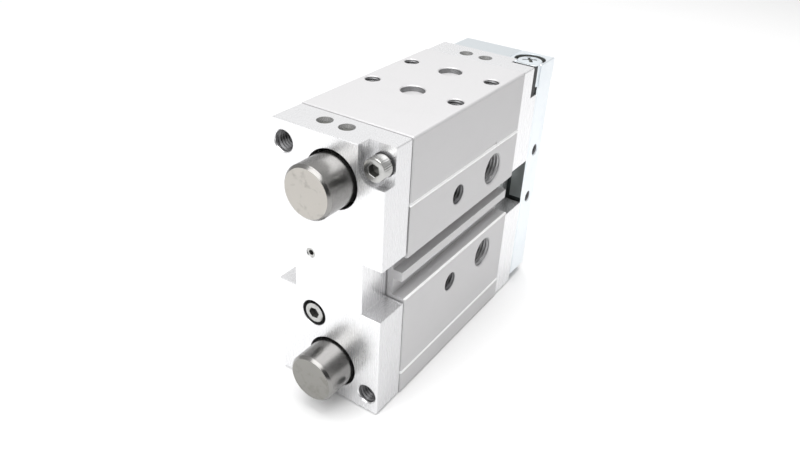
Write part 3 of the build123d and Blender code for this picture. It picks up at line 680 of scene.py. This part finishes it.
load_places = [((ROD_X + x * PLATE_X, plate_hi[1], plate_middle_z + z * PLATE_Z), OUT_REAR)
               for x in (-1, 1) for z in (-1, 1)]
thread_piece("plate_load_threads", load_places, M8, LOAD_DEEP, CAP_MOUTH, "slider", zinc_plate)
edge_places = [((plate_hi[0], plate_middle_y, plate_middle_z + z * PLATE_SIDE), OUT_RIGHT) for z in (-1, 1)]
thread_piece("plate_edge_threads", edge_places, M5, EDGE_DEEP, CAP_MOUTH, "slider", shaded_thread_metal)

# %% [markdown]
# ## Plugs and bored seats
# The air ways in the caps are drilled from the top and closed with steel balls. The balls are drawn nearly
# black, as painted shade that shows dark discs in the holes. The walls of the two shallow seats in the top
# and the underside are painted darker, as the shade inside them. Each is a turned profile: a dome for a
# ball, a thin ring for a wall.

# %% Turn a profile
def turned_points(profile, around):
    """A profile turned round +Z: its radius times the cosine and the sine of the angle, and its height."""
    radius, height = np.array(profile).T
    angle = np.linspace(0, 2 * np.pi, around, endpoint=False)
    rr, aa = np.meshgrid(radius, angle, indexing="ij")
    return np.stack((rr * np.cos(aa), rr * np.sin(aa), height[:, None] * np.ones_like(aa)), -1)


def turned_piece(name, places, profile, closed, body, finish):
    """A turned profile set in each place, as one object."""
    return settle(repeat(name, turned_points(profile, 64), places, closed), finish, body)


# %% The plugs
CAP_HOLES_X, CAP_HOLE_IN = (-7.5 * MM, 1.9 * MM), 8.6 * MM
BALL_R, BALL_TOP, BALL_DROP, BALL_DEEP = 2.97 * MM, 0.8 * MM, 1.1 * MM, 3.6 * MM
NEAR_AXIS = 0.02

dome = [(BALL_R * t, -BALL_TOP - BALL_DROP * t * t) for t in np.linspace(NEAR_AXIS, 1.0, 12)]
ball = dome + [(BALL_R, -BALL_DEEP), (BALL_R * NEAR_AXIS, -BALL_DEEP)]
plug_places = [((x, y, cap_hi[2]), OUT_TOP) for x in CAP_HOLES_X
               for y in (cap_lo[1] + CAP_HOLE_IN, rear_hi[1] - CAP_HOLE_IN)]
turned_piece("gallery_plugs", plug_places, ball, False, "housing", shade_steel)

# %% [markdown]
# A seat's wall is a lining, a thin ring just inside the bore. It is a piece of its own because it carries
# painted shade, darker than the housing, and a mask would need the seat's circle. The floor is a flat disc
# inside the ring.

# %% The bored seats
SEAT_R, SEAT_DEEP, SEAT_TOP = 4.8 * MM, 3.0 * MM, 0.36 * MM
DISC_R, DISC_TOP, DISC_EDGE = 4.74 * MM, 2.2 * MM, 0.1 * MM


def lining(radius, top, deep, ahead=0.04 * MM, behind=0.03 * MM):
    """A thin wall's profile: it stands ahead of the radius and reaches behind it, from top down to deep."""
    front, back = radius - ahead, radius + behind
    return [(front, -top), (back, -top), (back, -deep), (front, -deep)]


wall = lining(SEAT_R, SEAT_TOP, SEAT_DEEP, 0.03 * MM, 0.04 * MM)
seat_places = [((0.0, y, body_hi[2]), OUT_TOP) for y in (-TOP_ROW, TOP_ROW)]
seat_places += [((0.0, y, body_lo[2]), OUT_UNDER) for y in (-UNDER_ROW, UNDER_ROW)]
turned_piece("bored_seats", seat_places, wall, True, "housing", bored_wall_shade)
disc = [(DISC_R * NEAR_AXIS, -DISC_TOP), (DISC_R * 0.97, -DISC_TOP), (DISC_R, -DISC_TOP - DISC_EDGE),
        (DISC_R, -SEAT_DEEP), (DISC_R * NEAR_AXIS, -SEAT_DEEP)]
turned_piece("seat_floors", seat_places, disc, False, "housing", housing_grey)

# %% [markdown]
# The front cap's inner screw sits in a counterbore that leaves only a thin dark ring round its head. The
# solid's bore is wider, for the fit, so a ring of the cap's own metal narrows it, and a lining paints shade
# on its wall.

# %% The inner screw's counterbore
inner_at = (-6.8 * MM, middle_z - 20.4 * MM)
BORE_R, SINK_R, SINK_TOP, SINK_DEEP = 6.3 * MM, 5.55 * MM, 0.3 * MM, 5.0 * MM
MOUTH_TOP, MOUTH_EDGE, IN_METAL = 0.02 * MM, 0.1 * MM, 0.03 * MM

sink_place = [((inner_at[0], cap_lo[1], inner_at[1]), OUT_FRONT)]
turned_piece("screw_sink", sink_place, lining(SINK_R, SINK_TOP, SINK_DEEP), True, "housing", bored_wall_shade)
ring_r = BORE_R + IN_METAL
mouth = [(SINK_R, -MOUTH_TOP - MOUTH_EDGE), (SINK_R + MOUTH_EDGE, -MOUTH_TOP), (ring_r, -MOUTH_TOP),
         (ring_r, -SINK_DEEP), (SINK_R, -SINK_DEEP)]
turned_piece("screw_mouth", sink_place, mouth, True, "housing", cap_metal)

# %% [markdown]
# The recess for the stop block's screw is open for a few degrees, where it runs out of the block beside the
# nose. Its wall is therefore carried along an arc and not turned. Its dark lining paints the shade in the
# recess.

# %% Line the stop block's recess
RECESS_R, RECESS_TOP, RECESS_DEEP = 6.8 * MM, 0.25 * MM, 4.0 * MM
RECESS_IN, RECESS_Y = 7.4 * MM, 4.4 * MM
OPEN_FROM, OPEN_TO = 219.3, 248.5

recess_at = (plate_hi[0] - RECESS_IN, plate_lo[1] + RECESS_Y, plate_hi[2])
arc = np.radians(np.linspace(OPEN_TO, OPEN_FROM + 360.0, 72))[:, None]
wall_r, wall_z = np.array(lining(RECESS_R, RECESS_TOP, RECESS_DEEP)).T
arc_points = np.stack((wall_r * np.cos(arc), wall_r * np.sin(arc), wall_z * np.ones_like(arc)), -1)
stop_recess = grid_mesh("stop_recess", place(arc_points, OUT_TOP, recess_at))
turn_outwards(stop_recess)
# The lining's dark steel is painted shade.
settle(stop_recess, shade_steel, "slider")

# %% [markdown]
# ## The stop pad's shade wedge
# A black rubber wedge along the open side of the pad in the rear cap's corner fills the hollow beside the
# nose's rounded edge. It is a dark piece put where the shade in that hollow falls. The wedge is straight
# outside, and hollow inside, where it follows the nose.

# %% Make the shade wedge
PAD_OUT, PAD_TOP_Y, NOSE_R, WEDGE_GAP = 23.4 * MM, 45.2 * MM, 3.0 * MM, 0.2 * MM
NOSE_X, NOSE_Y = 20.6 * MM, 48.5 * MM
HOLLOW_FROM, HOLLOW_TO = 29.0, 65.0
WEDGE_TOP, WEDGE_LOW, WEDGE_ROUND, WEDGE_SHRINK = 0.5 * MM, 12.6 * MM, 0.2 * MM, 0.96

follow = np.radians(np.linspace(HOLLOW_FROM, HOLLOW_TO, 10))
hollow = np.stack((NOSE_X + (NOSE_R + WEDGE_GAP) * np.cos(follow),
                   NOSE_Y - (NOSE_R + WEDGE_GAP) * np.sin(follow)), -1)
outline = np.vstack(((PAD_OUT, PAD_TOP_Y), (PAD_OUT, hollow[0, 1]), hollow, (hollow[-1, 0], PAD_TOP_Y)))
levels = rear_hi[2] - np.array((WEDGE_LOW, WEDGE_LOW - WEDGE_ROUND, WEDGE_TOP + WEDGE_ROUND, WEDGE_TOP))
shrink = np.array((WEDGE_SHRINK, 1.0, 1.0, WEDGE_SHRINK))[:, None, None]
ring = (outline - outline.mean(0)) * shrink + outline.mean(0)
shade_wedge_points = np.concatenate((ring, levels[:, None, None] * np.ones((4, len(outline), 1))), -1)
# A dark piece that stands in for the shade beside the nose.
shade_wedge = grid_mesh("stop_pad_shade_wedge", shade_wedge_points)
turn_outwards(shade_wedge)
settle(shade_wedge, black_rubber, "housing")

# %% [markdown]
# ## Socket head screws
# A real cap screw has a knurled head with a rolled edge, a ring-shaped top and a hexagon socket with a cone
# at its bottom. The whole screw is one surface from the socket's bottom over the head and down to the tip.

# %% The screw's surface
KNURL_DEEP = 0.022


def cap_screw_points(shank_d, head_d, head_h, across_flats, length, knurls=36, per_knurl=6):
    """Rows of points round the axis. The socket's rows have a hexagon's radius, half the flats over the
    cosine of the angle from the nearest flat's middle. The knurled side's radius is the head's times 1 less
    a small share of a cosine wave."""
    count = knurls * per_knurl
    angle = np.linspace(0, 2 * np.pi, count, endpoint=False)
    flat_angle = (angle + np.pi / 6) % (np.pi / 3) - np.pi / 6
    hexagon = across_flats / 2 / np.cos(flat_angle)
    knurl = 1 - KNURL_DEEP * (0.5 + 0.5 * np.cos(knurls * angle))
    head_r, shank_r = head_d / 2, shank_d / 2
    chamfer = 0.06 * head_d
    depth = 0.5 * head_h
    circle = np.ones(count)
    rows = [
        (0.02 * hexagon, head_h - depth - 0.12 * head_d), (0.5 * hexagon, head_h - depth - 0.06 * head_d),
        (hexagon, head_h - depth), (hexagon, head_h - depth / 2), (hexagon, head_h - 0.05 * head_d),
        (1.02 * hexagon, head_h - 0.01 * head_d), (1.06 * hexagon, head_h),
        ((head_r - chamfer) * 0.96 * circle, head_h),
        ((head_r - chamfer) * circle, head_h - 0.005 * head_d),
        ((head_r - chamfer * 0.3) * circle, head_h - 0.3 * chamfer),
        (head_r * 0.985 * circle, head_h - chamfer), (head_r * knurl, head_h - 1.5 * chamfer),
        (head_r * knurl, 0.18 * head_h),
        (head_r * 0.985 * circle, 0.1 * head_h), (head_r * 0.965 * circle, 0.0), (shank_r * circle, 0.0),
        (shank_r * circle, 0.15 * shank_d - length), (shank_r * 0.75 * circle, -length),
        (shank_r * 0.05 * circle, -length),
    ]
    radius = np.stack([r for r, _ in rows])
    height = np.array([h for _, h in rows])[:, None] * np.ones((1, count))
    return np.stack((radius * np.cos(angle), radius * np.sin(angle), height), -1)


# %% [markdown]
# The socket's walls are painted nearly black, as the shade in the socket, and the rest is bright. The faces
# come in the order of the rows, so the first rows of faces, and the fan at the socket's bottom, get the
# dark one.

# %% Make several screws
SOCKET_ROWS = 4


def screw_set(name, places, kind, length, body, replaced, turns):
    """Several equal screws as one object that stands for a CAD node. turns are their angles in degrees."""
    made = []
    points = cap_screw_points(*kind, length)
    for number, ((at, turn), degrees) in enumerate(zip(places, turns)):
        piece = grid_mesh(name + str(number), place(points, turn @ spun(degrees), at), sharp_degrees=28.0)
        turn_outwards(piece)
        piece.data.materials.append(screw_steel)
        # The second slot paints shade on the socket's walls.
        piece.data.materials.append(shade_steel)
        around = points.shape[1]
        socket = np.arange(len(piece.data.polygons)) < SOCKET_ROWS * around
        socket[-2 * around:-around] = True
        piece.data.polygons.foreach_set("material_index", socket.astype(np.int32))
        made.append(piece)
    piece = join(name, made)
    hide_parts(replaced)
    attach(piece, body)
    print(name, len(places), "screws,", len(piece.data.polygons), "faces")
    return piece


# %% [markdown]
# The M5 screws of both caps, the M8 screws of the guide rods and the M6 screw of the piston rod have
# standard sizes. No two screws are ever tightened to the same angle, so each is turned differently.

# %% Set the screws
M5_SCREW = (5.0 * MM, 8.5 * MM, 5.0 * MM, 4.0 * MM)
M6_SCREW = (6.0 * MM, 10.0 * MM, 6.0 * MM, 5.0 * MM)
M8_SCREW = (8.0 * MM, 13.0 * MM, 8.0 * MM, 6.0 * MM)
FRONT_LONG, REAR_LONG, ROD_LONG, PISTON_LONG = 24.0 * MM, 16.0 * MM, 22.0 * MM, 20.0 * MM
M5_HEAD, SUNK, ROD_SUNK, PISTON_SUNK = 5.0 * MM, 0.5 * MM, 8.5 * MM, 6.5 * MM
ROD_Z = 40.0 * MM
corner_at = (19.3 * MM, middle_z + 48.8 * MM)

front_places = [((x, cap_lo[1] + M5_HEAD, z), OUT_FRONT) for x, z in (corner_at, inner_at)]
screw_set("front_socket_screws", front_places, M5_SCREW, FRONT_LONG, "housing", "front_cap_screws",
          (12.0, 38.0))
rear_at = ((-CORNER_X, middle_z + CORNER_Z), (CORNER_X, middle_z - CORNER_Z), inner_at)
rear_places = [((x, rear_hi[1] - M5_HEAD - SUNK, z), OUT_REAR) for x, z in rear_at]
screw_set("rear_socket_screws", rear_places, M5_SCREW, REAR_LONG, "housing", "rear_cap_screws",
          (5.0, 50.0, 27.0))
rod_places = [((ROD_X, plate_hi[1] - ROD_SUNK, middle_z + up * ROD_Z), OUT_REAR) for up in (-1, 1)]
screw_set("rod_socket_screws", rod_places, M8_SCREW, ROD_LONG, "slider", "guide_rod_screws", (8.0, 33.0))
piston_place = [((0.0, plate_hi[1] - PISTON_SUNK, middle_z), OUT_REAR)]
screw_set("piston_socket_screw", piston_place, M6_SCREW, PISTON_LONG, "slider", "piston_rod_screw", (17.0,))

# %% [markdown]
# ## The stop block's screw
# This screw has a wide, low head that nearly fills its recess, with a cross for the driver. The head's top
# is a height over the plane: a flat dome, less the cross. Rings round the axis carry it, close enough
# together for the cross to have steep walls.

# %% The cross-recessed screw's surface
CROSS_ARM, CROSS_HALF, CROSS_DEEP, CROSS_SOFT = 3.3 * MM, 0.68 * MM, 1.8 * MM, 0.16 * MM
HEAD_RINGS, ROLLED_EDGE, FOOT_EDGE = 48, 0.3 * MM, 0.1 * MM


def inside_cross(x, y):
    """1 in the cross and 0 outside: the product of two soft steps, across the nearer arm and along it."""
    across, along = np.minimum(np.abs(x), np.abs(y)), np.maximum(np.abs(x), np.abs(y))
    sideways = np.clip((CROSS_HALF - across) / CROSS_SOFT + 0.5, 0, 1)
    return sideways * np.clip((CROSS_ARM - along) / CROSS_SOFT + 0.5, 0, 1)


def cross_screw_points(head_r, head_h, shoulder, shank_r, length, around=192):
    """Rings round the axis. The top's height is the head's, less the dome's drop times the square of the
    radius ratio, less the cross, which gets shallower towards the ends of its arms."""
    angle = np.linspace(0, 2 * np.pi, around, endpoint=False)
    ratio = np.linspace(0.01, 1.0, HEAD_RINGS)[:, None]
    radius = ratio * (head_r - ROLLED_EDGE) * np.ones((1, around))
    deep = CROSS_DEEP * (1 - 0.5 * radius / CROSS_ARM)
    cross = inside_cross(radius * np.cos(angle), radius * np.sin(angle)) * deep
    height = head_h - (head_h - shoulder - ROLLED_EDGE) * ratio ** 2 - cross
    low = [(head_r, shoulder), (head_r, FOOT_EDGE), (head_r - FOOT_EDGE, 0.0), (shank_r, 0.0),
           (shank_r, ROLLED_EDGE - length), (shank_r * 0.8, -length), (shank_r * 0.05, -length)]
    low_r, low_z = (np.array(column)[:, None] * np.ones((1, around)) for column in zip(*low))
    radius, height = np.vstack((radius, low_r)), np.vstack((height, low_z))
    return np.stack((radius * np.cos(angle), radius * np.sin(angle), height), -1)


# %% [markdown]
# The head stays narrower than its recess, because the rear cap is close beside it when the plate is drawn
# in. The walls of the cross are painted dark, as the shade in the cross: a face belongs to them where the
# middle of its edge lies in the cross.

# %% Set the stop block's screw
HEAD_R, HEAD_H, SHOULDER, SHANK_R, BLOCK_LONG = 5.5 * MM, 3.8 * MM, 3.1 * MM, 2.5 * MM, 16.0 * MM
CROSS_TURN, IN_CROSS = 33.0, 0.3

block_points = cross_screw_points(HEAD_R, HEAD_H, SHOULDER, SHANK_R, BLOCK_LONG)
block_at = (recess_at[0], recess_at[1], plate_hi[2] - RECESS_DEEP)
block_screw = grid_mesh("cross_recessed_screw", place(block_points, OUT_TOP @ spun(CROSS_TURN), block_at))
turn_outwards(block_screw)
block_screw.data.materials.append(zinc_plate)
# The second slot paints shade on the walls of the cross.
block_screw.data.materials.append(shade_steel)
middle = (block_points[:HEAD_RINGS - 1] + block_points[1:HEAD_RINGS]) / 2
recessed = np.zeros(len(block_screw.data.polygons), dtype=np.int32)
in_head = inside_cross(middle[..., 0], middle[..., 1]).ravel() > IN_CROSS
recessed[:in_head.size] = in_head
block_screw.data.polygons.foreach_set("material_index", recessed)
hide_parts("stop_block_screw")
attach(block_screw, "slider")
print("cross recessed screw", len(block_screw.data.polygons), "faces")

# %% [markdown]
# ## Split washers
# The ring under each front screw is a spring washer: a square wire in one turn, cut through and twisted a
# little. It is a profile carried round a circle, short of a full turn.

# %% The split washer's surface
def split_washer_points(outer_r, inner_r, thick, gap_degrees=7.0, corner=0.12, steps=96):
    """A rounded square carried along an arc that rises a little over its length, so the cut's ends step."""
    around = np.linspace(0, 2 * np.pi, 24, endpoint=False)
    squared = np.sign(np.cos(around)) * np.abs(np.cos(around)) ** corner
    raised = np.sign(np.sin(around)) * np.abs(np.sin(around)) ** corner
    across, up = (outer_r - inner_r) / 2, thick / 2 * 0.86
    t = np.linspace(math.radians(gap_degrees), 2 * np.pi, steps)
    radius = (outer_r + inner_r) / 2 + across * squared[None, :]
    height = thick / 2 + up * raised[None, :] + 0.14 * thick * (t[:, None] / np.pi - 1) * 0.5
    return np.stack((radius * np.cos(t[:, None]), radius * np.sin(t[:, None]), height), -1)


# %% Set the washers
WASHER_OUT, WASHER_IN, WASHER_THICK = 4.4 * MM, 2.63 * MM, 1.0 * MM
CUTS_AT = (40.0, 205.0)

washers = []
for number, ((at, turn), cut_at) in enumerate(zip(front_places, CUTS_AT)):
    points = split_washer_points(WASHER_OUT, WASHER_IN, WASHER_THICK) - np.array((0, 0, WASHER_THICK))
    washer = grid_mesh("split_washer" + str(number), place(points, turn @ spun(cut_at), at))
    turn_outwards(washer)
    washers.append(washer)
settle(join("split_washers", washers), black_steel, "housing", "front_cap_washers")

# %% [markdown]
# ## Guide rods
# The rods' ends are the first thing one sees, so each is turned afresh as one smooth surface: a faced end
# with faint tool rings, a chamfer, and the long ground side. It fits exactly over the solid rod.

# %% The rod's surface
ROD_RINGS, RING_DEEP = 40, 0.004 * MM


def rod_points(radius, length, chamfer, spigot_r, spigot_len):
    """A profile turned round the axis: the faced end with shallow rings in equal steps of the radius, the
    chamfer with rounded edges, the side, and the spigot at the far end. The end is at 0 on +Z."""
    ring_r = np.linspace(NEAR_AXIS, 1, ROD_RINGS) * (radius - chamfer)
    ring_z = RING_DEEP * np.cos(np.arange(ROD_RINGS) * np.pi)
    edge = 0.12 * chamfer
    profile = [(r, z) for r, z in zip(ring_r, ring_z)]
    profile += [
        (radius - chamfer + edge, edge * 0.7), (radius - edge, chamfer - edge), (radius, chamfer + edge),
        (radius, length / 2), (radius, length - edge), (radius - edge, length), (spigot_r, length),
        (spigot_r, length + spigot_len), (spigot_r * NEAR_AXIS, length + spigot_len),
    ]
    return turned_points(profile, 128)


# %% Turn the rods
ROD_CHAMFER, SPIGOT_R = 1.0 * MM, 7.0 * MM
for name in ("upper_guide_rod", "lower_guide_rod"):
    lo, hi = (np.array(c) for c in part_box(name))
    radius = (hi[0] - lo[0]) / 2
    turned = rod_points(radius, plate_lo[1] - lo[1], ROD_CHAMFER, SPIGOT_R, hi[1] - plate_lo[1])
    centre = ((lo[0] + hi[0]) / 2, lo[1], (lo[2] + hi[2]) / 2)
    rod = grid_mesh("ground_" + name, place(turned, OUT_REAR, centre), sharp_degrees=20.0)
    turn_outwards(rod)
    settle(rod, rod_steel, "slider", name)

# %% [markdown]
# ## Floor, light and camera
# The photograph was taken in a bright white booth: almost no shadow, and the front and the plate are nearly
# burnt out. A white floor and an evenly white surround give that. One big lamp straight ahead and high
# makes the front brighter than the right side, a smaller one lights the top, and a weak one behind keeps
# the far edges clear.

# %% The floor
FLOOR_WIDE, FLOOR_GREY, FLOOR_ROUGHNESS = 6.0, 0.8, 0.9


def flat_card(name, corners, finish_name, grey, roughness):
    """A flat piece from its four corners, in one plain grey."""
    mesh = bpy.data.meshes.new(name)
    mesh.from_pydata(corners, [], [(0, 1, 2, 3)])
    card = bpy.data.objects.new(name, mesh)
    bpy.context.scene.collection.objects.link(card)
    material = bpy.data.materials.new(finish_name)
    material.use_nodes = True
    shader = material.node_tree.nodes["Principled BSDF"]
    shader.inputs["Base Color"].default_value = (grey, grey, grey, 1)
    shader.inputs["Roughness"].default_value = roughness
    mesh.materials.append(material)
    return card


lowest = float(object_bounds()[0][2])
floor_corners = [(x * FLOOR_WIDE, y * FLOOR_WIDE, lowest) for x, y in ((-1, -1), (1, -1), (1, 1), (-1, 1))]
floor = flat_card("floor", floor_corners, "white_floor", FLOOR_GREY, FLOOR_ROUGHNESS)
print("floor at", lowest)

# %% [markdown]
# Polished steel shows what stands round it. In an empty white booth the rods would be white all over, so a
# black card behind the camera gives them their dark stripes, as a dark room would. The camera itself
# doesn't see it.

# %% The black card
CARD_LEFT, CARD_RIGHT, CARD_HIGH, CARD_GREY = (0.20, -0.72), (0.66, -0.36), 0.52, 0.02
card_corners = [(*CARD_LEFT, 0.0), (*CARD_RIGHT, 0.0), (*CARD_RIGHT, CARD_HIGH), (*CARD_LEFT, CARD_HIGH)]
card = flat_card("photographer", card_corners, "photographer", CARD_GREY, 1.0)
card.visible_camera = False
print("black card", card_corners)

# %% [markdown]
# The light is an even white world and three square lamps that face the object. Large lamps give the soft
# edges that a booth's cloth walls give.

# %% The light
SURROUND = 0.6
OBJECT_MIDDLE = (0.0, 0.0, 0.056)


def make_surround(strength):
    """A world that is evenly white."""
    world = bpy.data.worlds.new("white_booth")
    bpy.context.scene.world = world
    world.use_nodes = True
    background = world.node_tree.nodes["Background"]
    background.inputs["Color"].default_value = (1.0, 1.0, 1.0, 1)
    background.inputs["Strength"].default_value = strength


def area_light(name, at, size, power):
    """A square lamp that faces the middle of the object."""
    data = bpy.data.lights.new(name, "AREA")
    data.size = size
    data.energy = power
    lamp = bpy.data.objects.new(name, data)
    bpy.context.scene.collection.objects.link(lamp)
    lamp.location = at
    lamp.rotation_mode = "QUATERNION"
    lamp.rotation_quaternion = (Vector(OBJECT_MIDDLE) - Vector(at)).to_track_quat("-Z", "Y")


bpy.context.scene.view_settings.view_transform = "Standard"
make_surround(SURROUND)
area_light("front_lamp", (-0.02, -0.85, 0.83), 1.0, 9.6)
area_light("top_lamp", (0.0, 0.05, 1.0), 0.8, 9.0)
area_light("back_lamp", (-0.69, 1.08, 0.87), 1.6, 1.5)
print("lamps", [lamp.name for lamp in bpy.data.lights])

# %% [markdown]
# The camera's place and turn were found by fitting the straight edges of the housing to the photograph. It
# looks down by 31 degrees and from 33 degrees to the right of the front face, and is tilted by 3 degrees.

# %% The camera
CAMERA_AT = (0.1369061, -0.2309448, 0.2081668)
AZIMUTH, ELEVATION, ROLL = (math.radians(d) for d in (32.72607, 31.07839, 2.93556))
PHOTO_WIDTH, SENSOR = 800.0, 36.0
FOCAL_PIXELS = 717.609


def make_camera():
    """Looks along the direction of azimuth and elevation, then rolls about it."""
    data = bpy.data.cameras.new("photo_camera")
    data.sensor_width = SENSOR
    data.lens = FOCAL_PIXELS * SENSOR / PHOTO_WIDTH
    data.clip_start, data.clip_end = 0.01, 20.0
    ahead = Vector((-math.sin(AZIMUTH) * math.cos(ELEVATION), math.cos(AZIMUTH) * math.cos(ELEVATION),
                    -math.sin(ELEVATION)))
    level_right = ahead.cross(Vector((0, 0, 1))).normalized()
    level_up = level_right.cross(ahead)
    right = level_right * math.cos(ROLL) + level_up * math.sin(ROLL)
    up = right.cross(ahead)
    camera = bpy.data.objects.new("photo_camera", data)
    bpy.context.scene.collection.objects.link(camera)
    turn = Matrix((right, up, -ahead)).transposed()
    camera.matrix_world = Matrix.Translation(Vector(CAMERA_AT)) @ turn.to_4x4()
    bpy.context.scene.camera = camera
    return camera


camera = make_camera()
print("camera at", tuple(camera.location), "lens", camera.data.lens)
